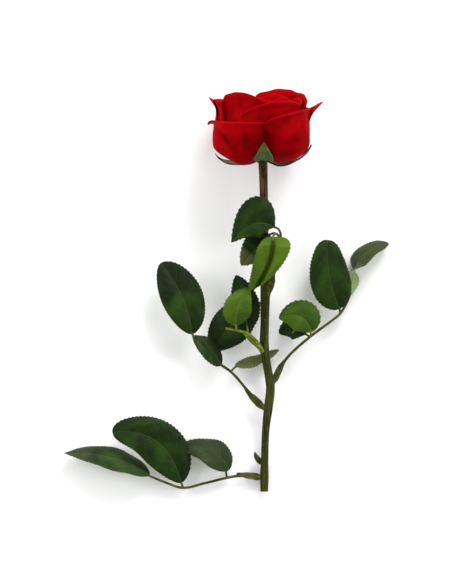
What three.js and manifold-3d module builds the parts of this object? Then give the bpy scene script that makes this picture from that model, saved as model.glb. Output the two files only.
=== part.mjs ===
// A cut red rose, laid on its side on a flat surface: one stem, its compound leaves, the green calyx
// and an open bloom. Millimetres. +Z is up from the surface, +Y runs from the cut end to the bloom and
// +X is to the right when it is seen from above. The rose rests on three low places: the bloom, a leaf
// on the left near the cut end, and a leaf on the right.
import * as THREE from "three";
import { mergeVertices } from "three/addons/utils/BufferGeometryUtils.js";
import Module from "manifold-3d";

const { abs, cos, hypot, max, min, sin, PI } = Math;
const RADIANS = PI / 180;
const wasm = await Module();
wasm.setup();

// ---------------------------------------------------------------- driving dimensions

const BLOOM_BASE = [23, 85.6, 26.2]; // where the petals meet the stem
const BLOOM_TILT = 12; // degrees that the bloom's axis rises from the surface
const BLOOM_SIDES = 12; // of the hip and of the core under the petals
const PETAL_THICK = 0.8; // of petals and sepals
const PRESSED_HEIGHT = 0.25; // of a petal's middle where it lies on the surface
const PETAL_ROWS = 6;
const PETAL_COLUMNS = 6;
const INNER_ROWS = 4; // of the petals in the inner whorls
const INNER_COLUMNS = 4;
const PETAL_CLAW = 3; // a petal's distance from the axis where it starts
const PETAL_WAIST = 0.42; // where the underside ends, as a share of the petal's length
const PETAL_RISE = 0.34; // height of the belly, as a share of the petal's height
const ROLL_SINK = 0.3; // how far a rim sinks as it rolls out, as a share of the roll
const RIM_TURN = 1.3; // how far a rim turns over at its very edge
const RIM_START = 0.86; // where it starts to, as a share of the petal's length
const CORNER_LIFT = 0.7; // how far a curled corner rises, as a share of how far it stands out
const CORNER_ROUND = 1.6; // how far a rim falls at its very corners
const CORNER_HEIGHT = 4; // the larger these powers, the smaller the corner of a petal that curls out
const CORNER_WIDTH = 5;
const CORNER_SQUARE = 16; // and the squarer its outline
const TUCK = 1; // how much further in a petal's right edge lies than its middle
const VALLEY_AT = 3; // bearing of the valley between the two front petals
const VALLEY_WIDTH = 19; // degrees to each side
const VALLEY_DEPTH = 2.2; // towards the axis
const VALLEY_RISE = 3.4; // and up along it
const HEART_SHIFT = 6; // how far the heart of the bloom leans to the right
const SEPAL_WIDTH = 13.4;
const SEPAL_BELLY = 32.2; // distance from the axis where a sepal turns up
const SEPAL_KICK = 1.2; // how far its tip turns out
const SEPAL_KICK_START = 0.8; // where it starts to, as a share of its length
const SEPAL_SHELF = 1; // how far below the petals a sepal leaves the hip
const SEPAL_RISE = 11; // height of that turn
const SEPAL_CLIMB = 11; // how far it goes up beyond that for each time the way out to it
const SEPAL_NECK = 0.5; // a sepal's width at the hip, as a share of its greatest
const SEPAL_FULLEST = 0.3; // where it starts to narrow, as a share of its length
const SEPAL_TIP = 1; // width of its tip
const FLARE_REACH = [0.3, 0.7]; // on the way to where it turns up, from its first flare to its second
const FLARE_LOW = 0.6; // flare of the lower edge, as a share of the upper one's
const FLARE_ROLL = 3; // the larger, the nearer to its upper edge a sepal rolls out
const SEPAL_ROWS = 7;
const SEPAL_COLUMNS = 2;
const BLADE_THICK = 0.65; // of a leaflet
const BLADE_ROWS = 14; // two rows to a tooth
const BLADE_COLUMNS = 4;
const BLADE_FULLNESS = 0.8; // below 1, a leaflet is widest nearer its base
const BLADE_TIP = 1; // width of a leaflet's ends
const LEAN_SHIFT = 0.4; // how far up a lean moves the widest place
const TWIST_START = 0.12; // where a twisted leaflet starts to turn, as a share of its length
const TWIST_END = 0.45;
const TROUGH_REACH = 2.4; // from the rib to where a fold along it is at its full height
const TROUGH_START = 0.15; // how far up the rib the fold has its full depth
const TOOTH_DEPTH = 0.8; // of a leaflet's saw-toothed edge
const STEM_SIDES = 10;
const STEM_STEPS = 32;
const BUD_SIDES = 6;
const BUD_STEPS = 6;
const STALK_SIDES = 5;
const STALK_STEPS = 2; // between two of its points
const SEAT_GAP = 0.3; // between a piece and what carries it

// ---------------------------------------------------------------- solids from surfaces

const vector = ([x, y, z]) => new THREE.Vector3(x, y, z);
const blend = (a, b, share) => a + (b - a) * share;
const smooth = (x) => x * x * (3 - 2 * x);
const clamp = (x) => min(1, max(0, x));
const step = (x, low, high) => smooth(clamp((x - low) / (high - low)));

// A closed geometry as a solid that can be joined and cut.
function solidOf(geometry) {
  geometry.deleteAttribute("normal");
  geometry.deleteAttribute("uv");
  const merged = mergeVertices(geometry, 1e-4);
  const triVerts = new Uint32Array(merged.index.array);
  const vertProperties = merged.attributes.position.array;
  return new wasm.Manifold(new wasm.Mesh({ numProp: 3, vertProperties, triVerts }));
}

function geometryOf(points, triangles) {
  const geometry = new THREE.BufferGeometry();
  geometry.setAttribute("position", new THREE.Float32BufferAttribute(points.flatMap((p) => p.toArray()), 3));
  return geometry.setIndex(triangles);
}

// A thin closed shell about a surface. place(s, t) is a point of the surface, with s from 0 to 1 along
// it and t from -1 to 1 across it. Both faces are split into triangles alike.
function shell(place, rows, columns, thickness) {
  const at = (i, j) => place(i / rows, blend(-1, 1, j / columns));
  const outer = [];
  const inner = [];
  for (let i = 0; i <= rows; i++) {
    for (let j = 0; j <= columns; j++) {
      const along = at(min(i + 1, rows), j).sub(at(max(i - 1, 0), j));
      const across = at(i, min(j + 1, columns)).sub(at(i, max(j - 1, 0)));
      const normal = across.cross(along).setLength(thickness / 2);
      outer.push(at(i, j).add(normal));
      inner.push(at(i, j).sub(normal));
    }
  }
  const width = columns + 1;
  const below = outer.length;
  const triangles = [];
  for (let i = 0; i < rows; i++) {
    for (let j = 0; j < columns; j++) {
      const [a, b] = [i * width + j, i * width + j + 1];
      const [c, d] = [b + width, a + width];
      triangles.push(a, b, c, a, c, d);
      triangles.push(below + a, below + c, below + b, below + a, below + d, below + c);
    }
  }
  const rim = [];
  for (let j = 0; j < columns; j++) rim.push(j);
  for (let i = 0; i < rows; i++) rim.push(i * width + columns);
  for (let j = columns; j > 0; j--) rim.push(rows * width + j);
  for (let i = rows; i > 0; i--) rim.push(i * width);
  rim.forEach((a, k) => {
    const b = rim[(k + 1) % rim.length];
    triangles.push(a, below + a, below + b, a, below + b, b);
  });
  return solidOf(geometryOf([...outer, ...inner], triangles));
}

// A round stalk through points, each [x, y, z, radius], with a smooth curve between them.
function stalk(points, sides, steps, grow = 0) {
  const curve = new THREE.CatmullRomCurve3(points.map(vector), false, "centripetal");
  const frames = curve.computeFrenetFrames(steps, false);
  const rings = [];
  const triangles = [];
  for (let i = 0; i <= steps; i++) {
    const along = curve.getUtoTmapping(i / steps) * (points.length - 1);
    const k = min(Math.floor(along), points.length - 2);
    const radius = blend(points[k][3], points[k + 1][3], along - k) + grow;
    const centre = curve.getPointAt(i / steps);
    for (let j = 0; j < sides; j++) {
      const turn = (2 * PI * j) / sides;
      const side = frames.normals[i].clone().multiplyScalar(radius * cos(turn));
      rings.push(centre.clone().add(side).addScaledVector(frames.binormals[i], radius * sin(turn)));
    }
  }
  const last = steps * sides;
  for (let j = 0; j < sides; j++) {
    const next = (j + 1) % sides;
    for (let i = 0; i < last; i += sides) {
      triangles.push(i + j, i + next, i + sides + next, i + j, i + sides + next, i + sides + j);
    }
    if (j > 0 && next > 0) triangles.push(0, next, j, last, last + j, last + next);
  }
  return solidOf(geometryOf(rings, triangles));
}

// The pieces joined into one body: whatever the joining seals inside is filled.
function fuse(pieces) {
  const bodies = wasm.Manifold.union(pieces).decompose();
  return bodies.reduce((largest, body) => (body.volume() > largest.volume() ? body : largest));
}

// ---------------------------------------------------------------- stem

// From the cut end up to the bloom, with a slight bend and swelling where each leaf leaves it.
const STEM = [
  [24.6, -131.6, 3.3, 2.5],
  [24.7, -122, 3.9, 2.8],
  [24.9, -110, 4.8, 2.45],
  [25.6, -91, 6.6, 2.5],
  [27.1, -78, 8.2, 2.9],
  [28.6, -64, 9.5, 2.9],
  [27.6, -56, 10.4, 2.8],
  [25.4, -43.5, 11.8, 2.8],
  [24.6, -36, 12.6, 3.0],
  [24.9, -20, 14.2, 2.8],
  [25.1, -6, 15.6, 3.1],
  [25.2, 3, 16.5, 3.2],
  [24.7, 32, 19.3, 2.7],
  [24.3, 58, 21.8, 2.7],
  [24.0, 72, 23.3, 2.8],
  [23.6, 83.6, 25.5, 3.0],
];

// A little shoot in the lowest leaf's axil.
const AXIL_BUD = [
  [23.6, -113.2, 5.2, 1.4],
  [21.4, -111.4, 6, 1.9],
  [19.4, -108.6, 6.6, 1.5],
  [18.3, -105.6, 7, 0.5],
];

const stem = (grow = 0) => stalk(STEM, STEM_SIDES, STEM_STEPS, grow);

// ---------------------------------------------------------------- leaves

// A leaflet, stipule or other flat green blade. Its rib is the curve from base to tip that bend pulls
// aside. The halves rise from the rib by fold and droop towards their edges by curl, and trough is the
// depth of a narrow fold along the rib. roll turns its face to the right of its tip, in degrees, and
// twist is added to it from near the base on. A larger taper narrows its ends, blunt rounds its tip, and
// a larger fullness moves its widest place up. lean makes the half on the right of its tip fuller and
// fullest further up, and bias makes that half wider.
function blade({ base, bend, tip, width, teeth = TOOTH_DEPTH, ...form }) {
  const { roll = 0, twist = 0, fold = 0.25, curl = 0.3, trough = 0 } = form;
  const { taper = 0.72, fullness = BLADE_FULLNESS, lean = 0, bias = 0, blunt = 0 } = form;
  const rib = new THREE.QuadraticBezierCurve3(vector(base), vector(bend), vector(tip));
  const up = new THREE.Vector3(0, 0, 1);
  const rows = teeth ? BLADE_ROWS : BLADE_ROWS / 2;
  const place = (s, t) => {
    const along = rib.getTangent(s);
    const side = along.clone().cross(up).normalize();
    side.applyAxisAngle(along, (roll + twist * step(s, TWIST_START, TWIST_END)) * RADIANS);
    const normal = side.clone().cross(along);
    const row = Math.round(s * rows);
    const tooth = row % 2 && row < rows ? teeth * abs(t) : 0;
    const power = taper * (1 - lean * t) * (1 - blunt * s);
    const swell = max(0, sin(PI * s ** (fullness + LEAN_SHIFT * lean * t))) ** power;
    const half = (max(BLADE_TIP, width * swell) * (1 + bias * t)) / 2;
    const ridge = trough * step(half * abs(t), 0, TROUGH_REACH) * step(s, 0, TROUGH_START);
    const lift = half * (fold * abs(t) - curl * t * t) + ridge;
    const point = rib.getPoint(s).addScaledVector(side, (half + tooth) * t);
    return point.addScaledVector(normal, lift);
  };
  return shell(place, rows, BLADE_COLUMNS, BLADE_THICK);
}

// Each leaf: its main stalk with the leaflets' short ones, then its stipules and leaflets. A young
// leaflet, which is brighter, is a body of its own with its short stalk.
const LEAVES = {
  leaf_low_left: {
    stalks: [
      [[22.6, -122.3, 4, 1.5], [17, -121.8, 4.6, 1], [8, -121.3, 5, 0.9], [0.3, -122.5, 5.2, 0.9],
        [-14, -126, 5.6, 0.85], [-28.3, -129, 6, 0.85], [-40, -125.4, 8, 0.8], [-51, -120.8, 10, 0.7]],
      [[0.3, -122.5, 5.2, 0.7], [-0.2, -119.5, 6, 0.7], [-0.6, -116, 7.2, 0.7]],
      [[-28.3, -129, 6, 0.7], [-29, -127, 6.6, 0.7], [-30.2, -124.5, 7.2, 0.7]],
    ],
    blades: [
      { base: [24, -122.4, 4], bend: [16, -121.4, 5.2], tip: [6.5, -119.8, 5.2], width: 5, roll: 20,
        teeth: 0 },
      { base: [1.5, -117.5, 7], bend: [-4.5, -101, 13.6], tip: [-31, -101.5, 5.5], width: 23, roll: 42 },
      { base: [-29.6, -125.8, 7], bend: [-38.5, -88.5, 19], tip: [-74.4, -92.6, 12], width: 29, roll: 8,
        blunt: 0.4 },
      { base: [-50, -120.6, 9.8], bend: [-73, -104.6, 12.1], tip: [-106, -106.4, 7.6], width: 23, roll: 55 },
    ],
  },
  leaf_mid_left: {
    stalks: [
      [[26, -78.2, 8.4, 1.7], [19.5, -71.8, 9.2, 1.1], [13.3, -65, 10.5, 0.9], [2.9, -53.3, 12, 0.9],
        [-10.7, -44.2, 13.6, 0.85], [-19.2, -36.4, 15, 0.8], [-22.8, -26.5, 16.5, 0.75]],
      [[2.9, -53.3, 12, 0.7], [4.4, -51.4, 10.4, 0.7], [7, -49.4, 8.4, 0.7]],
    ],
    blades: [
      { base: [26, -78.4, 8.6], bend: [19, -72.5, 10], tip: [11.5, -64, 11.5], width: 5, roll: -20,
        teeth: 0 },
      { base: [-22.6, -28.8, 16.3], bend: [-24.4, -5, 25], tip: [-42.6, 17.6, 16], width: 26.8, roll: 8,
        taper: 0.52, fullness: 1.06 },
      { base: [-3.4, -48.8, 12.8], bend: [-11, -37, 21], tip: [-20.6, -29.4, 14.4], width: 15, roll: 38 },
      { base: [5.6, -49.4, 9.2], bend: [20, -46.6, 4.8], tip: [34.2, -39, 6.4], width: 10, roll: -48 },
    ],
  },
  leaf_mid_front: {
    stalks: [
      [[23.6, -40.2, 13.6, 1.8], [18.2, -32.6, 18.2, 1.2], [13.3, -28.2, 21, 1], [6, -26.2, 23, 0.9],
        [-0.6, -25, 24, 0.8]],
      [[13.6, -28.2, 21, 0.7], [13.7, -26, 21, 0.7], [13.3, -23, 21, 0.7]],
    ],
    blades: [
      { base: [23, -39.5, 14.4], bend: [18, -32, 19], tip: [10.5, -27.8, 22.5], width: 4.6, roll: -15,
        teeth: 0 },
      { base: [13.4, -25.5, 21], bend: [13.5, -8, 24], tip: [6.2, 9.6, 20.5], width: 18.5, roll: -6 },
    ],
    young: {
      stalks: [[[6.4, -26.2, 23, 0.75], [6.2, -24.5, 24.2, 0.7], [6.2, -21.5, 25.4, 0.7]]],
      blades: [
        { base: [6.2, -23.2, 24.9], bend: [4.5, -10.5, 33], tip: [15.2, 1.2, 27], width: 18, roll: -6 },
      ],
    },
  },
  leaf_simple: {
    stalks: [[[23.5, -8.2, 15.8, 1.2], [21, -9.2, 16.6, 0.8], [18.4, -11.4, 16.6, 0.7]]],
    blades: [
      { base: [19.6, -10.3, 16.6], bend: [-3.2, -25, 17], tip: [-8.6, -40.6, 4.6], width: 25, roll: 4 },
    ],
  },
  leaf_right: {
    stalks: [
      [[29, -63, 9.8, 1.9], [32.6, -55.6, 10.6, 1.2], [40, -43.6, 10.8, 0.95], [54.3, -30.6, 10.6, 0.9],
        [67.9, -20.5, 10, 0.85], [74, -15.4, 9.6, 0.85], [78.2, -8.6, 9, 0.8], [81, -2, 9, 0.7]],
      [[54.3, -30.6, 10.6, 0.7], [52.4, -29.2, 9.8, 0.7], [49.8, -28, 8.6, 0.7]],
      [[74, -15.4, 9.6, 0.7], [73.8, -13.4, 11, 0.7], [73.3, -10.6, 12.4, 0.7]],
    ],
    blades: [
      { base: [30.4, -61.5, 10.4], bend: [33, -53, 11.5], tip: [38.6, -45, 11.4], width: 5, roll: 20,
        teeth: 0 },
      { base: [51.4, -28.8, 9.4], bend: [43, -21, 8], tip: [34.5, -28.6, 7.5], width: 14.5, roll: 12 },
      { base: [73.8, -12.2, 11.8], bend: [64, 8, 20], tip: [66, 32.6, 13], width: 25.6, roll: -6,
        taper: 0.56, blunt: 0.3 },
      { base: [80.8, -3.4, 9], bend: [81.2, 28, 9.2], tip: [105.8, 30.4, 4.6], width: 16.5, roll: -140,
        blunt: 0.4, twist: 90 },
    ],
    young: {
      stalks: [[[54.6, -30.2, 11, 0.75], [54.9, -28.8, 12.6, 0.7], [54.8, -25.8, 14.2, 0.7]]],
      blades: [{ base: [54.9, -27.6, 13.3], bend: [51.4, -12, 21], tip: [34.1, -18.4, 16.5], width: 22.5 }],
    },
  },
  leaf_top: {
    stalks: [
      [[26.6, -3.4, 17, 1.9], [28.8, 3, 20, 1.3], [31, 13, 24.4, 1], [33.6, 24.6, 29.4, 0.9],
        [34.8, 33.4, 33, 0.9], [35, 37, 35.4, 0.8], [33.4, 39.6, 36.4, 0.75], [30, 41.2, 36.6, 0.7]],
      [[34.8, 33.4, 33, 0.7], [31.5, 36.8, 31.2, 0.7], [26.4, 35.6, 29.8, 0.7]],
    ],
    blades: [
      { base: [26.8, -3, 17.8], bend: [29, 3, 21], tip: [31.2, 12.4, 25.4], width: 4.6, roll: -10,
        teeth: 0 },
      { base: [31.6, 40.2, 36.6], bend: [18, 50, 42], tip: [3.2, 30.8, 33.4], width: 26, taper: 1.85,
        fullness: 0.75, lean: -0.08, bias: 0.31, blunt: 0.5 },
      { base: [28, 36, 30], bend: [20.8, 29.4, 32.6], tip: [9.4, 16.2, 27], width: 19, roll: -8 },
    ],
    young: {
      stalks: [
        [[34.6, 33.6, 33.8, 0.8], [32.6, 36.4, 35.4, 0.75], [30.6, 35.6, 36.4, 0.7], [30.2, 31.6, 36.8, 0.7]],
      ],
      blades: [
        { base: [30.3, 34.6, 36.4], bend: [30.4, 15, 36], tip: [17.6, 0.2, 26], width: 21, fold: 0.5,
          trough: 5.5, taper: 0.85, fullness: 0.5, lean: 0.4, bias: -0.06 },
      ],
    },
  },
};

const stalksOf = (leaf, grow = 0) =>
  leaf.stalks.map((points) => stalk(points, STALK_SIDES, STALK_STEPS * (points.length - 1), grow));
const bladesOf = (leaf) => leaf.blades.map(blade);

// ---------------------------------------------------------------- bloom

// A point of the bloom, from its distance out from the axis, its bearing about it in degrees, which is
// 0 at the upper side and 90 at the right, its height along the axis, and how far it is shifted to the
// right. The surface that the rose lies on presses it flat.
function inBloom(radius, bearing, height, shift = 0) {
  const [tilt, turn] = [BLOOM_TILT * RADIANS, bearing * RADIANS];
  const [x, y, z] = BLOOM_BASE;
  const forward = radius * cos(turn);
  return new THREE.Vector3(
    x + radius * sin(turn) + shift,
    y + height * cos(tilt) - forward * sin(tilt),
    max(PRESSED_HEIGHT, z + height * sin(tilt) + forward * cos(tilt)),
  );
}

// Distance out and height on the underside of the bloom, from the claw at share 0, past the sag, to
// the belly at share 1.
function underside(share, belly, rise, sag) {
  const turn = (share * PI) / 2;
  return [PETAL_CLAW + (belly - PETAL_CLAW) * sin(turn), rise * (1 - cos(turn)) - sag * sin(2 * turn)];
}

// How deep in the valley between the two front petals a bearing lies, as a bell curve of it.
const valley = (bearing) => Math.exp(-(((bearing - VALLEY_AT) / VALLEY_WIDTH) ** 2));

// How far a petal is pressed in by its dents. Each is a bell curve about its middle, [along, across],
// that reaches as far as its reach, [along, across].
function dented(u, v, dents) {
  const one = ({ middle, reach, depth }) => {
    const [along, across] = [(u - middle[0]) / reach[0], (v - middle[1]) / reach[1]];
    return depth * Math.exp(-along * along - across * across);
  };
  return dents.reduce((sum, dent) => sum + one(dent), 0);
}

// A petal. It leaves the axis along the underside, rises from its belly to its rim, and rolls outwards
// by lip there. span is half its width as a bearing, and shoulder its width at claw and rim as a share
// of that. drop lowers both corners, and skew lowers the left one and raises the right. points are how
// far its left and right corners curl out. sag swells it down, most of all where v is hang, bulge
// swells its middle out, dip is its share of the valley, and shift leans its rim to the right.
function petal({ bearing, span, height, belly, rim, lip = 1.5, drop = 0.1, skew = 0, ...form }) {
  const { points = [0, 0], sag = 1.3, hang = 0, shoulder = 0.7, bulge = 0, shift = 0 } = form;
  const { dip = 0, dents = [] } = form;
  return (u, v) => {
    const top = height * (1 - drop * v * v + skew * v);
    const wall = clamp((u - PETAL_WAIST) / (1 - PETAL_WAIST));
    const corner = wall ** CORNER_HEIGHT * abs(v) ** CORNER_WIDTH * points[v < 0 ? 0 : 1];
    const roll = wall ** 3 * lip;
    const over = step(u, RIM_START, 1);
    const arch = sin(PI * u);
    const bend = bearing + span * v * blend(shoulder, 1, arch);
    const hollow = dip * valley(bend);
    const rise = PETAL_RISE * height;
    const share = clamp(u / PETAL_WAIST);
    const swag = sag * (max(0, 1 - (v - hang) ** 2) * (1 - hollow)) ** 2;
    const [out, up] = underside(share, belly, rise, swag);
    let radius = out + (rim - belly) * smooth(wall) + roll + corner - TUCK * v * u + RIM_TURN * over;
    radius += bulge * arch * (0.5 - v * v) - VALLEY_DEPTH * hollow * arch - dented(u, v, dents);
    let tall = up + (top - rise) * wall - ROLL_SINK * roll + CORNER_LIFT * corner;
    tall += VALLEY_RISE * hollow * sin(PI * share) - (RIM_TURN * over * over) / 2;
    tall -= CORNER_ROUND * wall * v ** CORNER_SQUARE;
    return inBloom(radius, bend, tall, shift * u);
  };
}

const OUTER_PETALS = [
  { bearing: -42, span: 60, height: 29.3, belly: 31.2, rim: 30.2, lip: 0.7, drop: 0.04, skew: 0.07,
    points: [1.8, 0], sag: 3.6, hang: 0.4, shoulder: 0.85, bulge: 3, dip: 1,
    dents: [{ middle: [0.58, 0.36], reach: [0.24, 0.26], depth: 1.6 }] },
  { bearing: 50, span: 53, height: 36.8, belly: 31.5, rim: 30, drop: 0.13, points: [0, 0.6], sag: 2.4,
    shoulder: 0.87, bulge: 3, dip: 0.8,
    dents: [{ middle: [0.6, -0.5], reach: [0.12, 0.16], depth: -0.5 }] },
  { bearing: 120, span: 48, height: 31.5, belly: 30.6, rim: 29.6, drop: -0.04, skew: -0.1, points: [6, 2] },
  { bearing: -120, span: 48, height: 36.8, belly: 30.8, rim: 29.2, drop: -0.06, skew: 0.04,
    points: [2, 3.6] },
  { bearing: 180, span: 50, height: 35, belly: 30.4, rim: 30, lip: 3 },
];
const SECOND_PETALS = [
  { bearing: 28, span: 61, height: 43.2, belly: 28.5, rim: 24.4, lip: 1, drop: 0.21, skew: -0.02,
    shoulder: 0.95, dip: 1, dents: [{ middle: [0.9, -1], reach: [0.3, 0.2], depth: 0.9 }] },
  { bearing: -40, span: 55, height: 48.1, belly: 28, rim: 22.5, lip: 1, drop: 0.18, skew: 0.04,
    shoulder: 0.9, dip: 1 },
  { bearing: -94, span: 36, height: 39, belly: 30.2, rim: 28.4, lip: 1, drop: 0.06, shoulder: 0.9 },
  { bearing: 98, span: 48, height: 39.5, belly: 28, rim: 25.5 },
  { bearing: -146, span: 44, height: 38, belly: 27.6, rim: 24.5 },
  { bearing: 138, span: 61, height: 42.5, belly: 27.6, rim: 23.6, skew: 0.02, shoulder: 0.92, shift: 2 },
];
const INNER_WHORLS = [
  { count: 5, first: -42, span: 50, height: 40, belly: 22, rim: 17, lip: 1, dip: 0.8 },
  { count: 4, first: 48, span: 60, height: 39, belly: 16, rim: 12.5, lip: 0.8 },
  { count: 3, first: 80, span: 78, height: 37.8, belly: 10.5, rim: 7, lip: 0.6 },
  { count: 2, first: 20, span: 100, height: 36.8, belly: 6, rim: 3.4, lip: 0.3 },
];
const CORE = [[0, 1], [9, 1], [15, 9], [13, 22], [8, 30], [0, 33]]; // distance out and height

function petals() {
  const inner = INNER_WHORLS.flatMap(({ count, first, ...form }) => {
    const bearings = Array.from({ length: count }, (_, k) => first + (360 * k) / count);
    return bearings.map((bearing) => petal({ ...form, bearing, shift: HEART_SHIFT }));
  });
  const outer = [...OUTER_PETALS, ...SECOND_PETALS].map(petal);
  return [
    ...outer.map((place) => shell(place, PETAL_ROWS, PETAL_COLUMNS, PETAL_THICK)),
    ...inner.map((place) => shell(place, INNER_ROWS, INNER_COLUMNS, PETAL_THICK)),
  ];
}

// A solid of revolution about the bloom's axis, from [distance out, height] points.
function turned(profile) {
  const lathe = new THREE.LatheGeometry(profile.map(([r, h]) => new THREE.Vector2(r, h)), BLOOM_SIDES);
  const position = lathe.attributes.position;
  for (let i = 0; i < position.count; i++) {
    const [a, h, b] = [position.getX(i), position.getY(i), position.getZ(i)];
    position.setXYZ(i, ...inBloom(hypot(a, b), Math.atan2(a, b) / RADIANS, h).toArray());
  }
  return solidOf(lathe);
}

// The hip under the petals, as [distance out, height] points.
const HIP = [[0, -2.8], [3, -2.8], [3.9, -1.8], [4.2, -0.6], [3.5, 0.6], [0, 0.8]];

// The five sepals that spread from the hip round the bloom, each with its length, as a share of the way
// to where a sepal turns up, and how far it sags. Its upper edge stands off the petals by flare, near
// the hip and further out, and its lower edge by a share of that. The larger fullness is, the nearer
// to its tip a sepal starts to narrow.
const SEPALS = [
  { bearing: 2, length: 1.5, belly: 33.8, sag: 0.3 },
  { bearing: 72, length: 1.02, sag: 2, flare: [2.2, 0.4], fullness: 2.4 },
  { bearing: 146, length: 0.75, flare: [1, 0.5] },
  { bearing: -146, length: 0.75, flare: [1, 0.5] },
  { bearing: -74, length: 0.76, sag: 2, flare: [1.4, 4.4], fullness: 2.4 },
];

function sepal({ bearing, length, belly = SEPAL_BELLY, sag = 1, ...form }, grow) {
  const { flare = [0, 0], fullness = 1.2 } = form;
  return (u, v) => {
    const share = clamp(u * length);
    const [out, up] = underside(share, belly, SEPAL_RISE, sag);
    const narrowing = clamp((u - SEPAL_FULLEST) / (1 - SEPAL_FULLEST)) ** fullness;
    const taper = min(1, SEPAL_NECK + 2 * share) * (1 - narrowing);
    const edge = blend(FLARE_LOW, 1, ((1 - v * Math.sign(bearing)) / 2) ** FLARE_ROLL);
    const open = blend(...flare, step(share, ...FLARE_REACH)) * step(share, 0, FLARE_REACH[0]);
    const shelf = SEPAL_SHELF * (1 - share) ** 0.5 + edge * open * taper ** 0.5;
    const width = SEPAL_WIDTH * taper + SEPAL_TIP + 2 * grow;
    const bend = bearing + (v * width) / 2 / max(out, 2 * PETAL_CLAW) / RADIANS;
    const hollow = valley(bend);
    const kick = SEPAL_KICK * step(u, SEPAL_KICK_START, 1);
    const radius = out + kick - VALLEY_DEPTH * hollow * sin((PI * share) / 2);
    const climb = SEPAL_CLIMB * max(0, u * length - 1);
    return inBloom(radius, bend, up - shelf + climb + VALLEY_RISE * hollow * sin(PI * share));
  };
}

function calyx(grow = 0) {
  const hip = turned(HIP.map(([r, h]) => [r && r + grow, h + Math.sign(h) * grow]));
  const thickness = PETAL_THICK + 2 * grow;
  const leaves = SEPALS.map((form) => shell(sepal(form, grow), SEPAL_ROWS, SEPAL_COLUMNS, thickness));
  return fuse([hip, ...leaves]).subtract(ground());
}

// What lies below the surface that the rose rests on: cutting it off leaves a flat spot to rest on.
const ground = () => solidOf(new THREE.BoxGeometry(300, 300, 10).translate(0, 0, -5));

const bloom = () => fuse([fuse([turned(CORE), ...petals()]).subtract(calyx(SEAT_GAP)).subtract(ground())]);

// ---------------------------------------------------------------- the rose

const STEM_BROWN = { color: 0x4a4520, roughness: 0.6 };
const CALYX_GREEN = { color: 0x4d6b2e, roughness: 0.6 };
const PETAL_RED = { color: 0xa8060c, roughness: 0.7 };
const LEAF_GREEN = { color: 0x1f3a14, roughness: 0.45 };
const YOUNG_GREEN = { color: 0x4e7d18, roughness: 0.5 };

function mesh(name, solid, finish) {
  const { vertProperties, triVerts } = solid.getMesh();
  const geometry = new THREE.BufferGeometry();
  geometry.setAttribute("position", new THREE.BufferAttribute(vertProperties, 3));
  geometry.setIndex(new THREE.BufferAttribute(triVerts, 1));
  geometry.computeVertexNormals();
  const made = new THREE.Mesh(geometry, new THREE.MeshStandardMaterial(finish));
  made.name = name;
  return made;
}

const rose = new THREE.Group();
const shoot = stalk(AXIL_BUD, BUD_SIDES, BUD_STEPS);
rose.add(mesh("stem", fuse([stem(), shoot]).subtract(calyx(SEAT_GAP)), STEM_BROWN));
rose.add(mesh("calyx", calyx(), CALYX_GREEN));
rose.add(mesh("bloom", bloom(), PETAL_RED));
for (const [name, leaf] of Object.entries(LEAVES)) {
  const { young } = leaf;
  rose.add(mesh(name, fuse([...stalksOf(leaf), ...bladesOf(leaf)]).subtract(stem(SEAT_GAP)), LEAF_GREEN));
  if (young) {
    const carrier = wasm.Manifold.union(stalksOf(leaf, SEAT_GAP));
    const leaflet = fuse([...stalksOf(young), ...bladesOf(young)]).subtract(carrier);
    rose.add(mesh(name.replace("leaf", "young_leaflet"), fuse([leaflet]), YOUNG_GREEN));
  }
}

export default rose;
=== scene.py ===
# %% [markdown]
# # A cut red rose, laid on its side
#
# The real thing is a florist's rose: a woody stem, toothed compound leaves on thin stalks, a green
# calyx and an open bloom of some thirty petals. It lies on a pale surface and the camera looks
# straight down on it. This lesson dresses its plain solids. Every surface here is a formula worked
# out on a grid, so that a leaf or a petal can be changed by changing one of its few numbers.

import bpy
import numpy as np
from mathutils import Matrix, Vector


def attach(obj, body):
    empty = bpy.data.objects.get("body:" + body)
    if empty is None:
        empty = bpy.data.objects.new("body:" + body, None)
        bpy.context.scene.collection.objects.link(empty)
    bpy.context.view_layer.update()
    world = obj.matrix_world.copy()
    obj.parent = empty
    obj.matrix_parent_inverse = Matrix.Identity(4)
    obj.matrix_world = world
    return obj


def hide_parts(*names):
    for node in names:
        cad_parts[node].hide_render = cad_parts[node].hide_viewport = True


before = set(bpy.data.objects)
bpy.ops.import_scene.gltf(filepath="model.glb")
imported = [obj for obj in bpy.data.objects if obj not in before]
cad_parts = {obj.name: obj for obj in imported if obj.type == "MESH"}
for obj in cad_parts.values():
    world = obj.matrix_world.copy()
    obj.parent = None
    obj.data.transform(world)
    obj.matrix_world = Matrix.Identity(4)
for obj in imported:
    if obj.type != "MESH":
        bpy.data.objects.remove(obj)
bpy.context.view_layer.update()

# %% [markdown]
# ## Grids of points
#
# A leaf could be modelled by pushing vertices about, or cut out of a plane. A grid is better here:
# one number, s, runs from base to tip and another, t, from the left edge to the right one, and the
# place of each point is a formula of the two. All lengths are in millimetres until a mesh is made.
# Nothing that grows is quite even, so leaves and petals get a few long waves of random phase.

# %% Grids and small formulas
MM = 0.001
TURN = 2 * np.pi


def blend(a, b, share):
    """From a at share 0 to b at share 1, in a straight line."""
    return a + (b - a) * share


def smooth(x):
    """An S-shaped step: flat at 0, flat at 1, and steepest between them."""
    return x * x * (3 - 2 * x)


def step(x, low, high):
    """The smooth step of x from 0 at low to 1 at high."""
    return smooth(np.clip((x - low) / (high - low), 0, 1))


def unit(vectors):
    """Each vector divided by its length."""
    return vectors / np.linalg.norm(vectors, axis=-1, keepdims=True)


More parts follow.
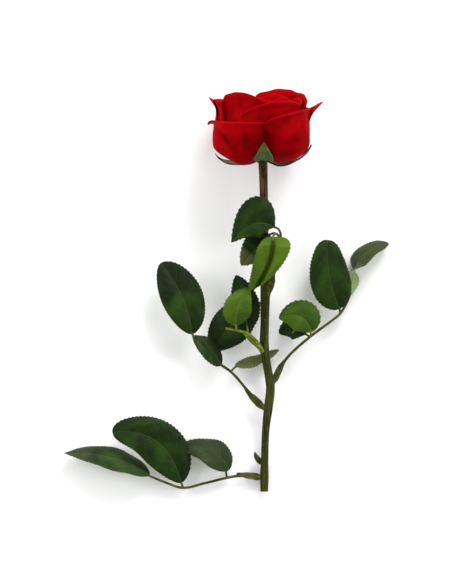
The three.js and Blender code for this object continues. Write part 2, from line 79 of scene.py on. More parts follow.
def grid(rows, columns):
    """s from 0 to 1 down the rows, and t from -1 to 1 across. t is the sine of even steps, so the
    columns crowd towards both edges, where the shape needs them most."""
    s, x = np.meshgrid(np.linspace(0, 1, rows + 1), np.linspace(-1, 1, columns + 1), indexing="ij")
    return s, np.sin(x * TURN / 4)


def waves(u, v, rows, phases):
    """A sum of sines. Each row has the turns that a sine makes along u and along v, and its height."""
    return sum(
        height * np.sin(TURN * (along * u + across * v + phase))
        for (along, across, height), phase in zip(rows, phases)
    )


s, t = grid(4, 6)
print("a small grid has", s.shape, "points, and its columns are at", t[0].round(2))

# %% [markdown]
# ## From a grid to a closed skin
#
# Petals and leaves are thin sheets with two faces. Blender's Solidify would thicken a sheet, but it
# leaves a square edge. Here both faces are laid out half a thickness to either side of the grid,
# and the thickness falls to nothing at the rim as a quarter circle does, so the edge comes out round
# and the mesh is closed.

# %% Sheets
RIM_SHARPNESS = 24  # the larger, the nearer to the rim the thickness starts to fall


def facing(points):
    """Unit normals of a grid: the step across it times the step along it."""
    across = np.gradient(points, axis=1)
    along = np.gradient(points, axis=0)
    return unit(np.cross(across, along))


def sheet(points, s, t, thickness, tone, crease=0):
    """A closed thin shell about a grid of points. Half the thickness, times the square root of one
    less a high power of the distance from the middle, is laid off to both sides. crease lowers the
    upper face, and the lower face twice as far, as a rib does."""
    edge = np.maximum(abs(2 * s - 1), abs(t)) ** RIM_SHARPNESS
    half = thickness / 2 * np.sqrt(np.clip(1 - edge, 0, 1))
    normals = facing(points)
    upper = points + normals * (half - crease)[..., None]
    lower = points - normals * (half + 2 * crease)[..., None]
    number = np.arange(s.size).reshape(s.shape)
    under = number.copy()
    inside = (slice(1, -1), slice(1, -1))
    under[inside] = s.size + np.arange(under[inside].size).reshape(under[inside].shape)
    up = np.stack([number[:-1, :-1], number[:-1, 1:], number[1:, 1:], number[1:, :-1]], -1)
    down = np.stack([under[:-1, :-1], under[1:, :-1], under[1:, 1:], under[:-1, 1:]], -1)
    side = np.zeros(s.shape)
    side[inside] = 1
    shape = np.stack([s, t, np.full(s.shape, tone)], -1)
    reach = np.linalg.norm(np.gradient(points, axis=0), axis=-1).cumsum(0)
    girth = np.linalg.norm(np.gradient(points, axis=1), axis=-1).sum(1, keepdims=True) / 2
    place = np.stack([reach, girth * t, side], -1)
    below = place[inside] * (1, 1, -1)
    return {
        "points": np.concatenate([upper.reshape(-1, 3), lower[inside].reshape(-1, 3)]),
        "faces": [up.reshape(-1, 4), down.reshape(-1, 4)],
        "shape": np.concatenate([shape.reshape(-1, 3), shape[inside].reshape(-1, 3)]),
        "place": np.concatenate([place.reshape(-1, 3), below.reshape(-1, 3)]),
    }


# %% [markdown]
# ## Round stalks
#
# A stalk is a circle carried along a smooth curve. Blender's own curve object with a bevel makes
# one too, but it gives no say in how the circle swells, ridges or ends, so the rings are worked out
# here. The curve passes through every point that it is given, and so does its thickness.


# %% Curves and tubes
STALK_TONE = 0.5


def through(points, steps):
    """A smooth curve through rows of numbers. Between two rows it is the cubic that leaves the one
    and meets the other with slopes taken from their neighbours, each gap counted as the square
    root of its length, so that the curve neither loops nor swings wide."""
    points = np.asarray(points, float)
    padded = np.vstack([2 * points[:1] - points[1:2], points, 2 * points[-1:] - points[-2:-1]])
    gap = np.sqrt(np.linalg.norm(np.diff(padded[:, :3], axis=0), axis=1))[:, None]
    slope = np.diff(padded, axis=0) / gap
    middle = (padded[2:] - padded[:-2]) / (gap[1:] + gap[:-1])
    tangent = slope[:-1] - middle + slope[1:]
    x = np.linspace(0, len(points) - 1, steps + 1)
    k = np.minimum(x.astype(int), len(points) - 2)
    h = (x - k)[:, None]
    leave = tangent[k] * gap[1:][k]
    meet = tangent[k + 1] * gap[1:][k]
    rise = smooth(h)
    return blend(points[k], points[k + 1], rise) + leave * h * (1 - h) ** 2 - meet * h * h * (1 - h)


def hoops(rows, sides):
    """The faces of a closed row of rings: quads from ring to ring, and a fan to a pole at each end.
    The two poles are numbered after the rings."""
    number = np.arange(rows * sides).reshape(rows, sides)
    after = np.roll(number, -1, axis=1)
    wall = np.stack([number[:-1], number[1:], after[1:], after[:-1]], -1)
    start = np.stack([np.full(sides, number.size), number[0], after[0]], -1)
    end = np.stack([np.full(sides, number.size + 1), after[-1], number[-1]], -1)
    return [wall.reshape(-1, 4), start, end]


def tube(points, steps, sides, ridge=0):
    """A round closed stalk through rows of [x, y, z, radius]. Each ring lies square to the curve,
    its points at radius times cosine and sine of their angle, and ridge is an array of small
    heights to add to the radius, one for each step and side."""
    row = through(points, steps)
    centre, radius = row[:, :3], row[:, 3]
    along = unit(np.gradient(centre, axis=0))
    out = unit(np.cross(along, (0, 0, 1)))
    top = np.cross(out, along)
    angle = np.arange(sides) / sides * TURN
    swell = (radius[:, None] + ridge)[..., None]
    ring = np.cos(angle)[:, None] * out[:, None] + np.sin(angle)[:, None] * top[:, None]
    rings = centre[:, None] + swell * ring
    reach = np.linalg.norm(np.diff(centre, axis=0, prepend=centre[:1]), axis=1).cumsum()
    all_over = (steps + 1, sides)
    s = np.broadcast_to((reach / reach[-1])[:, None], all_over)
    turn = np.broadcast_to(angle / TURN, all_over)
    place = np.stack([np.broadcast_to(reach[:, None], all_over), turn * 0, turn * 0 + 1], -1)
    shape = np.stack([s, turn, np.full(all_over, STALK_TONE)], -1)
    ends = [[0, 0, STALK_TONE], [1, 0, STALK_TONE]]
    return {
        "points": np.concatenate([rings.reshape(-1, 3), centre[[0, -1]]]),
        "faces": hoops(steps + 1, sides),
        "shape": np.concatenate([shape.reshape(-1, 3), ends]),
        "place": np.concatenate([place.reshape(-1, 3), [[0, 0, 1], [reach[-1], 0, 1]]]),
    }


bend = through([[0, 0, 0, 1], [10, 0, 2, 2], [20, 5, 0, 1]], 4)
print("a curve through three points:", bend.round(2).tolist())

# %% [markdown]
# ## Putting a piece into the scene
#
# Sheets and tubes are joined into one mesh for each piece of the plant. Each vertex keeps two
# attributes that the finishes read: its shape, which is s, t and a tone that differs from leaf to
# leaf, and its place, which is how many millimetres along and across it lies and which face it is
# on. A pattern on these follows the surface however it bends.


# %% Pieces
def placed(name, data):
    """A new object in the scene."""
    made = bpy.data.objects.new(name, data)
    bpy.context.scene.collection.objects.link(made)
    return made


def piece(name, parts, finish, node):
    """One object of several parts, in metres. It rides on the one body and stands for its node."""
    points = np.concatenate([part["points"] for part in parts]) * MM
    starts = np.cumsum([0] + [len(part["points"]) for part in parts])
    faces = []
    for part, start in zip(parts, starts):
        for group in part["faces"]:
            faces += (group + start).tolist()
    mesh = bpy.data.meshes.new(name)
    mesh.from_pydata(points.tolist(), [], faces)
    for key in ("shape", "place"):
        layer = mesh.attributes.new(key, "FLOAT_VECTOR", "POINT")
        layer.data.foreach_set("vector", np.concatenate([part[key] for part in parts]).ravel())
    mesh.polygons.foreach_set("use_smooth", np.ones(len(faces), bool))
    mesh.materials.append(finish)
    made = placed(name, mesh)
    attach(made, "root")
    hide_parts(node)
    low, high = points.min(0) / MM, points.max(0) / MM
    print(f"{name}: {len(faces)} faces, from {low.round(1)} to {high.round(1)} mm")


# %% [markdown]
# ## Sums on sockets
#
# A finish is a little net of nodes. Wired by hand, a line such as *green times one less the vein*
# takes three nodes and four links. The class below wraps an output socket, so that the sum can be
# written as a sum, and every operator adds the Math node that it stands for.


# %% A socket that can be reckoned with
class Wire:
    """An output socket of a finish. Operators on it add Math nodes, and node adds any other."""

    def __init__(self, tree, socket):
        self.tree = tree
        self.socket = socket

    def node(self, kind, values, out=0, **settings):
        """A node of a type, with its settings made first and then its inputs set or linked."""
        made = self.tree.nodes.new(kind)
        for key, value in settings.items():
            setattr(made, key, value)
        for key, value in values.items():
            if isinstance(value, Wire):
                self.tree.links.new(value.socket, made.inputs[key])
            else:
                made.inputs[key].default_value = value
        return Wire(self.tree, made.outputs[out])

    def math(self, operation, *values):
        """A Math node on these values. This wire counts only if it is one of them."""
        return self.node("ShaderNodeMath", dict(enumerate(values)), operation=operation)

    def __add__(self, other):
        return self.math("ADD", self, other)

    __radd__ = __add__

    def __sub__(self, other):
        return self.math("SUBTRACT", self, other)

    def __rsub__(self, other):
        return self.math("SUBTRACT", other, self)

    def __mul__(self, other):
        return self.math("MULTIPLY", self, other)

    __rmul__ = __mul__

    def __abs__(self):
        return self.math("ABSOLUTE", self)

    def step(self, low, high):
        """The smooth step of this value, from 0 at low to 1 at high, or down where low is higher."""
        values = {"Value": self, "From Min": min(low, high), "From Max": max(low, high)}
        if low > high:
            values.update({"To Min": 1.0, "To Max": 0.0})
        return self.node("ShaderNodeMapRange", values, interpolation_type="SMOOTHSTEP")

    def part(self, axis):
        """One coordinate of a vector."""
        return self.node("ShaderNodeSeparateXYZ", {0: self}, out=axis)

    def noise(self, scale, detail=2.0):
        """Soft noise about this vector: scale is how many bumps there are to one unit."""
        return self.node("ShaderNodeTexNoise", {"Vector": self, "Scale": scale, "Detail": detail})

    def mix(self, low, high):
        """A colour between low and high, by this value."""
        return self.node("ShaderNodeMix", {0: self, 6: low, 7: high}, out=2, data_type="RGBA")


# %% Colours and bump
LIGHT = 1.3  # how bright the light is, so that the pale floor comes out near white
FACES = (-0.4, 0.4)  # where a sheet's side, -1 on its lower face and 1 on its upper one, changes


def colour(red, green, blue):
    """A colour from screen numbers of 0 to 255, made linear as light is by the sRGB formula, and
    divided by how bright the light is."""
    share = np.array([red, green, blue]) / 255
    linear = np.where(share <= 0.04045, share / 12.92, ((share + 0.055) / 1.055) ** 2.4)
    return (*(linear / LIGHT).tolist(), 1.0)


def finish(name, paint, gloss, **shader):
    """A material with one Principled shader. paint gets its starting wires and returns what varies:
    colour, roughness and height in millimetres. gloss and shader set what doesn't vary."""
    material = bpy.data.materials.new(name)
    material.use_nodes = True
    tree = material.node_tree
    principled = tree.nodes["Principled BSDF"]
    begin = Wire(tree, None)
    wires = {
        "shape": begin.node("ShaderNodeAttribute", {}, out=1, attribute_name="shape"),
        "place": begin.node("ShaderNodeAttribute", {}, out=1, attribute_name="place"),
        "spot": begin.node("ShaderNodeTexCoord", {}, out=3),
    }
    tint, roughness, height = paint(**wires)
    bump = begin.node("ShaderNodeBump", {"Height": height, "Distance": MM, "Strength": 1.0})
    for key, wire in {"Base Color": tint, "Roughness": roughness, "Normal": bump}.items():
        tree.links.new(wire.socket, principled.inputs[key])
    principled.inputs["Specular IOR Level"].default_value = gloss
    for key, value in shader.items():
        principled.inputs[key.replace("_", " ").title()].default_value = value
    print(f"{name}: {len(tree.nodes)} nodes")
    return material


# %% [markdown]
# ## The camera, the floor and the light
#
# A picture from straight above is flat and even, so a long lens far away suits it, as a copy stand
# does: near and far leaves then keep their sizes. The floor is a plain pale sheet. The light comes
# from a wide lamp beyond the bloom and a weaker one on either side, with a pale sky between them.
# The sky is brighter beyond the bloom, which models its rims, and darker straight overhead, so that
# glossy leaves don't turn grey.

# %% Camera
PIXEL = 0.65  # millimetres of the rose to a pixel of the picture
PICTURE = (452, 584)
CENTRE = (-0.33, -1.3)  # the spot at the picture's middle
FOCUS_HEIGHT = 22.0  # height at which a pixel has that size
DISTANCE = 4500.0
SENSOR = 36.0

lens = bpy.data.cameras.new("camera")
lens.sensor_width = SENSOR
lens.lens = SENSOR * DISTANCE / (PICTURE[1] * PIXEL)
lens.clip_end = 100
camera = placed("camera", lens)
camera.location = (CENTRE[0] * MM, CENTRE[1] * MM, (DISTANCE + FOCUS_HEIGHT) * MM)
bpy.context.scene.camera = camera
bpy.context.scene.view_settings.view_transform = "Standard"
print("the lens is", round(lens.lens), "mm")

# %% Floor
FLOOR_HALF = 8.0  # metres
FLOOR_DROP = 0.0002  # metres that the floor lies lower, so that it doesn't flicker through petals

ground = bpy.data.meshes.new("floor")
corners = np.array([[-1, -1, 0], [1, -1, 0], [1, 1, 0], [-1, 1, 0]]) * FLOOR_HALF
ground.from_pydata((corners - [0, 0, FLOOR_DROP]).tolist(), [], [[0, 1, 2, 3]])
floor = placed("floor", ground)
paper = bpy.data.materials.new("floor_paper")
paper.use_nodes = True
matt = paper.node_tree.nodes["Principled BSDF"].inputs
matt["Base Color"].default_value = (0.98, 0.98, 0.98, 1)
matt["Roughness"].default_value = 0.9
ground.materials.append(paper)

# %% Light
SKY = 0.83 * LIGHT


def lamp(name, place, size, power):
    """A square lamp at a place in metres, turned to face the rose."""
    light = bpy.data.lights.new(name, "AREA")
    light.size = size
    light.energy = power
    made = placed(name, light)
    made.location = place
    made.rotation_mode = "QUATERNION"
    made.rotation_quaternion = (-Vector(place)).to_track_quat("-Z", "Y")


lamp("key", (0.7, 1.7, 1.2), 0.9, 24 * LIGHT)
lamp("left", (-1.4, 0.35, 1.1), 0.8, 7 * LIGHT)
lamp("right", (1.4, -0.1, 1.0), 0.7, 5 * LIGHT)

sky = bpy.data.worlds.new("sky")
sky.use_nodes = True
direction = Wire(sky.node_tree, None).node("ShaderNodeTexCoord", {}, out=0)
beyond = direction.part(1).step(-0.9, 0.9)
overhead = direction.part(2).step(0.6, 0.98)
glow = overhead.mix(beyond.mix((0.5, 0.5, 0.5, 1), (1.4, 1.4, 1.4, 1)), (0.45, 0.45, 0.46, 1))
background = sky.node_tree.nodes["Background"]
sky.node_tree.links.new(glow.socket, background.inputs["Color"])
background.inputs["Strength"].default_value = SKY
bpy.context.scene.world = sky

# %% [markdown]
# ## The stem
#
# The stem is woody: reddish brown under the bloom, and olive further down where the light was
# weaker, with fine lines along it, pale specks, and a swelling where each leaf leaves it. It is one
# tube through the heights and thicknesses of the real one. Its lines could be painted, but the low
# light rakes along it, so the widest are in its shape.

# %% Stem shape
STEM = [
    [24.6, -131.6, 3.3, 2.5], [24.7, -122, 3.9, 2.8], [24.9, -110, 4.8, 2.45],
    [25.6, -91, 6.6, 2.5], [27.1, -78, 8.2, 2.9], [28.6, -64, 9.5, 2.9],
    [27.6, -56, 10.4, 2.8], [25.4, -43.5, 11.8, 2.8], [24.6, -36, 12.6, 3.0],
    [24.9, -20, 14.2, 2.8], [25.1, -6, 15.6, 3.1], [25.2, 3, 16.5, 3.2],
    [24.7, 32, 19.3, 2.7], [24.3, 58, 21.8, 2.7], [24.0, 72, 23.3, 2.8], [23.6, 83.6, 25.5, 3.0],
]  # each x, y, z and radius
AXIL_BUD = [
    [23.6, -113.2, 5.2, 1.4], [21.4, -111.4, 6, 1.9], [19.4, -108.6, 6.6, 1.5], [18.3, -105.6, 7, 0.3],
]
STEM_STEPS = 420
STEM_SIDES = 40
BUD_STEPS = 30
BUD_SIDES = 20
RIDGE = 0.05  # height of the lines along the stem
RIDGES = (3, 5, 7, 11)  # how many lines of each width go round it
DRIFT = 0.4  # share of their height by which the lines come and go
DRIFT_END = 30  # radians that this wave runs from end to end

rng = np.random.default_rng(11)
angle = np.arange(STEM_SIDES) / STEM_SIDES * TURN
lines = sum(np.sin(angle * number + rng.uniform(0, TURN)) * RIDGE for number in RIDGES)
drift = np.sin(np.linspace(0, DRIFT_END, STEM_STEPS + 1))[:, None]
stem_part = tube(STEM, STEM_STEPS, STEM_SIDES, lines * (1 + DRIFT * drift))
bud_part = tube(AXIL_BUD, BUD_STEPS, BUD_SIDES)

# %% [markdown]
# Bark has a long narrow grain. Noise is stretched along the stem by shrinking that direction before
# it is read, and two colours are blended by how far up the spot lies. The cut end shows pale wood
# with a pith, which is found by the distance behind the plane of the cut.

# %% Stem finish
CUT_AT = tuple(x * MM for x in STEM[0][:3])
CUT_FACE = (-0.13135, -0.1315)  # y where bark gives way to wood, in metres
PITH = (0.0007, 0.0011)  # how far from the middle of the cut the pith ends
GRAIN = (1500, 45, 1500)  # how fine the grain is across the stem and along it
SPECKS = 900  # to a metre


def paint_stem(shape, place, spot):
    """Brown to olive up and down, streaked by noise that is stretched along the stem."""
    height = spot.part(1)
    long = spot.node("ShaderNodeVectorMath", {0: spot, 1: GRAIN}, operation="MULTIPLY")
    streak = long.noise(0.5, 3.0).step(0.36, 0.66)
    specks = spot.noise(SPECKS).step(0.63, 0.72)
    upper = streak.mix(colour(44, 24, 8), colour(110, 78, 40))
    lower = streak.mix(colour(28, 33, 4), colour(68, 72, 18))
    up = (height + 0.012 * (long.noise(0.2) - 0.5)).step(0.0, 0.06)
    bark = (specks * 0.25).mix(up.mix(lower, upper), colour(170, 150, 100))
    away = spot.node("ShaderNodeVectorMath", {0: spot, 1: CUT_AT}, operation="DISTANCE", out=1)
    wood = away.step(*PITH).mix(colour(150, 140, 90), colour(205, 200, 150))
    end = height.step(*CUT_FACE)
    return end.mix(bark, wood), 0.38 + 0.25 * streak, 0.12 * streak + 0.1 * specks


stem_finish = finish("stem_bark", paint_stem, gloss=0.1)
piece("stem_bark", [stem_part, bud_part], stem_finish, "stem")

# %% [markdown]
# ## Leaflets
#
# A rose leaflet is an oval blade with a sunken midrib, side veins that run out towards the tip, and
# small teeth. A picture of a leaf on a flat card would look right from above only, so the blade is
# a grid about its rib: the halves rise from the rib as a fold, droop again at the edges, and swell
# a little between the veins.

# %% Leaflet shape
BLADE_THICK = 0.5
BLADE_FULLNESS = 0.8  # below 1, a leaflet is widest nearer its base
BLADE_TIP = 0.7  # width of a leaflet's ends
LEAN_SHIFT = 0.4  # how far up lean moves the fullest place, next to how much fuller it makes it
TWIST_REACH = (0.12, 0.45)  # where along a blade its twist starts and ends
TROUGH_REACH = 2.4
TROUGH_START = 0.15
TOOTH = 0.85  # depth of a tooth
TOOTH_LENGTH = 2.1
TOOTH_CURVE = 1.3  # above 1, a tooth's long side is hollow
TOOTH_SLANT = 0.15
TOOTH_EDGE = 6  # the larger, the nearer to the edge the teeth begin
TOOTHED = (0.12, 0.93)  # where along a blade the teeth are full, and from where they fade
VEINS = 8  # pairs of side veins
VEIN_START = 0.35
VEIN_SWEEP = 0.24  # how far up the blade a side vein has run when it gets to the edge
QUILT = 0.2  # how far the blade swells between its veins
SWAY = ((1.3, 0.2, 1), (2.7, -0.3, 0.6))  # waves of a blade's edges
SWAY_START = 0.3
CREASE_DEPTH = 0.16
CREASE_WIDTH = 0.45
CREASE_END = 0.8
FADE_REACH = (0.45, 0.8)
STIPULE_WIDTH = 8  # a blade less wide than this is a stipule
BLADE_GRID = (150, 26)
STIPULE_GRID = (40, 14)


def vein_turns(s, t):
    """How many side veins lie below a spot: a whole number on a vein. A vein starts from the rib
    and has run up by the sweep, times the share t of the half width, when it gets to t."""
    return VEINS * (s - VEIN_SWEEP * abs(t)) + VEIN_START


def rib_of(base, bend, tip, s):
    """The rib, from base to tip, pulled aside by bend: each point's weights are the squares and
    twice the product of 1 - s and s. Its slope comes with it."""
    base, bend, tip = (np.array(p, float) for p in (base, bend, tip))
    s = s[..., None]
    slope = 2 * (1 - s) * (bend - base) + 2 * s * (tip - bend)
    return base * (1 - s) ** 2 + bend * 2 * s * (1 - s) + tip * s * s, unit(slope)


def blade(
    base, bend, tip, width, roll=0, twist=0, fold=0.25, curl=0.3, trough=0, taper=0.72,
    fullness=BLADE_FULLNESS, lean=0, bias=0, blunt=0, teeth=TOOTH, wave=0.5, tone=None, fade=0, seed=0,
):
    """A leaflet. Its half width is the sine of s, to a power, and a row of teeth. A point lies that
    far out from the rib, times t, and above it by fold times t less curl times t squared. It is
    rolled about its rib, and rolls on by the twist near its base. bias makes the half on the right
    of its tip wider, lean makes it fuller and fullest further up, and blunt makes the tip rounder.
    trough is the depth of a narrow fold along the rib, and fade how much the tone grows to the tip."""
    rng = np.random.default_rng(seed)
    s, t = grid(*(BLADE_GRID if teeth else STIPULE_GRID))
    rib, along = rib_of(base, bend, tip, s)
    level = unit(np.cross(along, (0, 0, 1)))
    steep = np.cross(along, level)
    turn = np.radians(roll + twist * step(s, *TWIST_REACH))[..., None]
    side = level * np.cos(turn) + steep * np.sin(turn)
    normal = np.cross(side, along)
    power = taper * (1 - lean * t) * (1 - blunt * s)
    swelling = np.sin(np.pi * s ** (fullness + LEAN_SHIFT * lean * t)).clip(0) ** power
    half = np.maximum(BLADE_TIP, width * swelling) * (1 + bias * t) / 2
    length = np.linalg.norm(np.diff(rib[:, 0], axis=0), axis=-1).sum()
    saw = (s * round(length / TOOTH_LENGTH) + TOOTH_SLANT * t) % 1
    ends = step(s, 0, TOOTHED[0]) * step(s, 1, TOOTHED[1])
    outward = (half + teeth * ends * saw**TOOTH_CURVE * abs(t) ** TOOTH_EDGE) * t
    lift = half * (fold * abs(t) - curl * t * t)
    swell = (0.5 - 0.5 * np.cos(vein_turns(s, t) * TURN)) * np.sqrt(abs(t) * (1.001 - abs(t)))
    sway = waves(s, t, SWAY, rng.uniform(0, 1, 3))
    lift = lift + QUILT * swell * (width > STIPULE_WIDTH) + wave * sway * t**2 * step(s, 0, SWAY_START)
    lift = lift + trough * step(half * abs(t), 0, TROUGH_REACH) * step(s, 0, TROUGH_START)
    points = rib + side * outward[..., None] + normal * lift[..., None]
    crease = CREASE_DEPTH * np.exp(-((outward / CREASE_WIDTH) ** 2)) * step(s, 1, CREASE_END)
    tone = (rng.uniform(0, 1) if tone is None else tone) + fade * step(s, *FADE_REACH)
    return sheet(points, s, t, BLADE_THICK, tone, crease)


# %% [markdown]
# The leaves are listed by where they grow. In each, the main stalk comes first and then the short
# stalks of its leaflets. Among the blades the stipule comes first, the green wing where a leaf
# starts. The young leaflets are a brighter green, and each is a piece of its own.

# %% Leaves
def leaflet(base, bend, tip, width, **form):
    """What blade needs for one leaflet or stipule."""
    return dict(form, base=base, bend=bend, tip=tip, width=width)


# A tone above 1, given or reached at the tip by fade, paints a leaflet's face pale grey. This is a painted
# sheen for a leaflet seen at a glancing angle.
LEAVES = {
    "leaf_low_left": {
        "stalks": [
            [[22.6, -122.3, 4, 1.5], [17, -121.8, 4.6, 1], [8, -121.3, 5, 0.9], [0.3, -122.5, 5.2, 0.9],
             [-14, -126, 5.6, 0.85], [-28.3, -129, 6, 0.85], [-40, -125.4, 8, 0.8], [-51, -120.8, 10, 0.7]],
            [[0.3, -122.5, 5.2, 0.7], [-0.2, -119.5, 6, 0.7], [-0.6, -116, 7.2, 0.7]],
            [[-28.3, -129, 6, 0.7], [-29, -127, 6.6, 0.7], [-30.2, -124.5, 7.2, 0.7]],
        ],
        "blades": [
            leaflet([24, -122.4, 4], [16, -121.4, 5.2], [6.5, -119.8, 5.2], 5, roll=20, teeth=0),
            leaflet([1.5, -117.5, 7], [-4.5, -101, 13.6], [-31, -101.5, 5.5], 23, roll=42, tone=1.16),
            leaflet([-29.6, -125.8, 7], [-38.5, -88.5, 19], [-74.4, -92.6, 12], 29, roll=8, blunt=0.4,
                    tone=0.12),
            leaflet([-50, -120.6, 9.8], [-73, -104.6, 12.1], [-106, -106.4, 7.6], 23, roll=55, tone=0.3,
                    fade=0.95),
        ],
    },
    "leaf_mid_left": {
        "stalks": [
            [[26, -78.2, 8.4, 1.7], [19.5, -71.8, 9.2, 1.1], [13.3, -65, 10.5, 0.9], [2.9, -53.3, 12, 0.9],
             [-10.7, -44.2, 13.6, 0.85], [-19.2, -36.4, 15, 0.8], [-22.8, -26.5, 16.5, 0.75]],
            [[2.9, -53.3, 12, 0.7], [4.4, -51.4, 10.4, 0.7], [7, -49.4, 8.4, 0.7]],
        ],
        "blades": [
            leaflet([26, -78.4, 8.6], [19, -72.5, 10], [11.5, -64, 11.5], 5, roll=-20, teeth=0),
            leaflet([-22.6, -28.8, 16.3], [-24.4, -5, 25], [-42.6, 17.6, 16], 26.8, roll=8, taper=0.52,
                    fullness=1.06, tone=0.25, fade=-1),
            leaflet([-3.4, -48.8, 12.8], [-11, -37, 21], [-20.6, -29.4, 14.4], 15, roll=38),
            leaflet([5.6, -49.4, 9.2], [20, -46.6, 4.8], [34.2, -39, 6.4], 10, roll=-48, tone=2.4),
        ],
    },
    "leaf_mid_front": {
        "stalks": [
            [[23.6, -40.2, 13.6, 1.8], [18.2, -32.6, 18.2, 1.2], [13.3, -28.2, 21, 1], [6, -26.2, 23, 0.9],
             [-0.6, -25, 24, 0.8]],
            [[13.6, -28.2, 21, 0.7], [13.7, -26, 21, 0.7], [13.3, -23, 21, 0.7]],
        ],
        "blades": [
            leaflet([23, -39.5, 14.4], [18, -32, 19], [10.5, -27.8, 22.5], 4.6, roll=-15, teeth=0),
            leaflet([13.4, -25.5, 21], [13.5, -8, 24], [6.2, 9.6, 20.5], 18.5, roll=-6, tone=-0.3),
        ],
    },
    "young_leaflet_mid_front": {
        "stalks": [[[6.4, -26.2, 23, 0.75], [6.2, -24.5, 24.2, 0.7], [6.2, -21.5, 25.4, 0.7]]],
        "blades": [leaflet([6.2, -23.2, 24.9], [4.5, -10.5, 33], [15.2, 1.2, 27], 18, roll=-6, tone=0.2)],
    },
    "leaf_simple": {
        "stalks": [[[23.5, -8.2, 15.8, 1.2], [21, -9.2, 16.6, 0.8], [18.4, -11.4, 16.6, 0.7]]],
        "blades": [leaflet([19.6, -10.3, 16.6], [-3.2, -25, 17], [-8.6, -40.6, 4.6], 25, roll=4)],
    },
    "leaf_right": {
        "stalks": [
            [[29, -63, 9.8, 1.9], [32.6, -55.6, 10.6, 1.2], [40, -43.6, 10.8, 0.95], [54.3, -30.6, 10.6, 0.9],
             [67.9, -20.5, 10, 0.85], [74, -15.4, 9.6, 0.85], [78.2, -8.6, 9, 0.8], [81, -2, 9, 0.7]],
            [[54.3, -30.6, 10.6, 0.7], [52.4, -29.2, 9.8, 0.7], [49.8, -28, 8.6, 0.7]],
            [[74, -15.4, 9.6, 0.7], [73.8, -13.4, 11, 0.7], [73.3, -10.6, 12.4, 0.7]],
        ],
        "blades": [
            leaflet([30.4, -61.5, 10.4], [33, -53, 11.5], [38.6, -45, 11.4], 5, roll=20, teeth=0),
            leaflet([51.4, -28.8, 9.4], [43, -21, 8], [34.5, -28.6, 7.5], 14.5, roll=12),
            leaflet([73.8, -12.2, 11.8], [64, 8, 20], [66, 32.6, 13], 25.6, roll=-6, taper=0.56, blunt=0.3,
                    tone=0.3),
            leaflet([80.8, -3.4, 9], [81.2, 28, 9.2], [105.8, 30.4, 4.6], 16.5, roll=-140, blunt=0.4,
                    twist=90, tone=1.34),
        ],
    },
    "young_leaflet_right": {
        "stalks": [[[54.6, -30.2, 11, 0.75], [54.9, -28.8, 12.6, 0.7], [54.8, -25.8, 14.2, 0.7]]],
        "blades": [leaflet([54.9, -27.6, 13.3], [51.4, -12, 21], [34.1, -18.4, 16.5], 22.5, tone=0.02)],
    },
    "leaf_top": {
        "stalks": [
            [[26.6, -3.4, 17, 1.9], [28.8, 3, 20, 1.3], [31, 13, 24.4, 1], [33.6, 24.6, 29.4, 0.9],
             [34.8, 33.4, 33, 0.9], [35, 37, 35.4, 0.8], [33.4, 39.6, 36.4, 0.75], [30, 41.2, 36.6, 0.7]],
            [[34.8, 33.4, 33, 0.7], [31.5, 36.8, 31.2, 0.7], [26.4, 35.6, 29.8, 0.7]],
        ],
        "blades": [
            leaflet([26.8, -3, 17.8], [29, 3, 21], [31.2, 12.4, 25.4], 4.6, roll=-10, teeth=0),
            leaflet([31.6, 40.2, 36.6], [18, 50, 42], [3.2, 30.8, 33.4], 26, taper=1.85, fullness=0.75,
                    lean=-0.08, bias=0.31, blunt=0.5, tone=0.2),
            leaflet([28, 36, 30], [20.8, 29.4, 32.6], [9.4, 16.2, 27], 19, roll=-8, tone=0.1, fade=1.55),
        ],
    },
    "young_leaflet_top": {
        "stalks": [
            [[34.6, 33.6, 33.8, 0.8], [32.6, 36.4, 35.4, 0.75], [30.6, 35.6, 36.4, 0.7],
             [30.2, 31.6, 36.8, 0.7]],
        ],
        "blades": [
            leaflet([30.3, 34.6, 36.4], [30.4, 15, 36], [17.6, 0.2, 26], 21, fold=0.5, trough=5.5,
                    taper=0.85, fullness=0.5, lean=0.4, bias=-0.06, tone=0.5),
        ],
    },
}

# %% [markdown]
# ## Leaf finishes
#
# The upper face is a deep green, cut by a pale midrib and thin paler side veins, with a fine net
# between them. The lower face is greyish and rougher, and its veins stand out. A strong gloss would
# turn the dark leaves grey under a wide sky, so there is only a faint one. The net could be drawn by
# hand on an image. Cell noise does it without one, in millimetres along and across the blade, so it
# bends with the leaf. A leaflet is bright where its tone is near 0.5 and darker below that. Above 1
# its face is painted a pale grey. This is a painted sheen for a leaflet seen at a glancing angle,
# where it would mirror the pale surroundings.


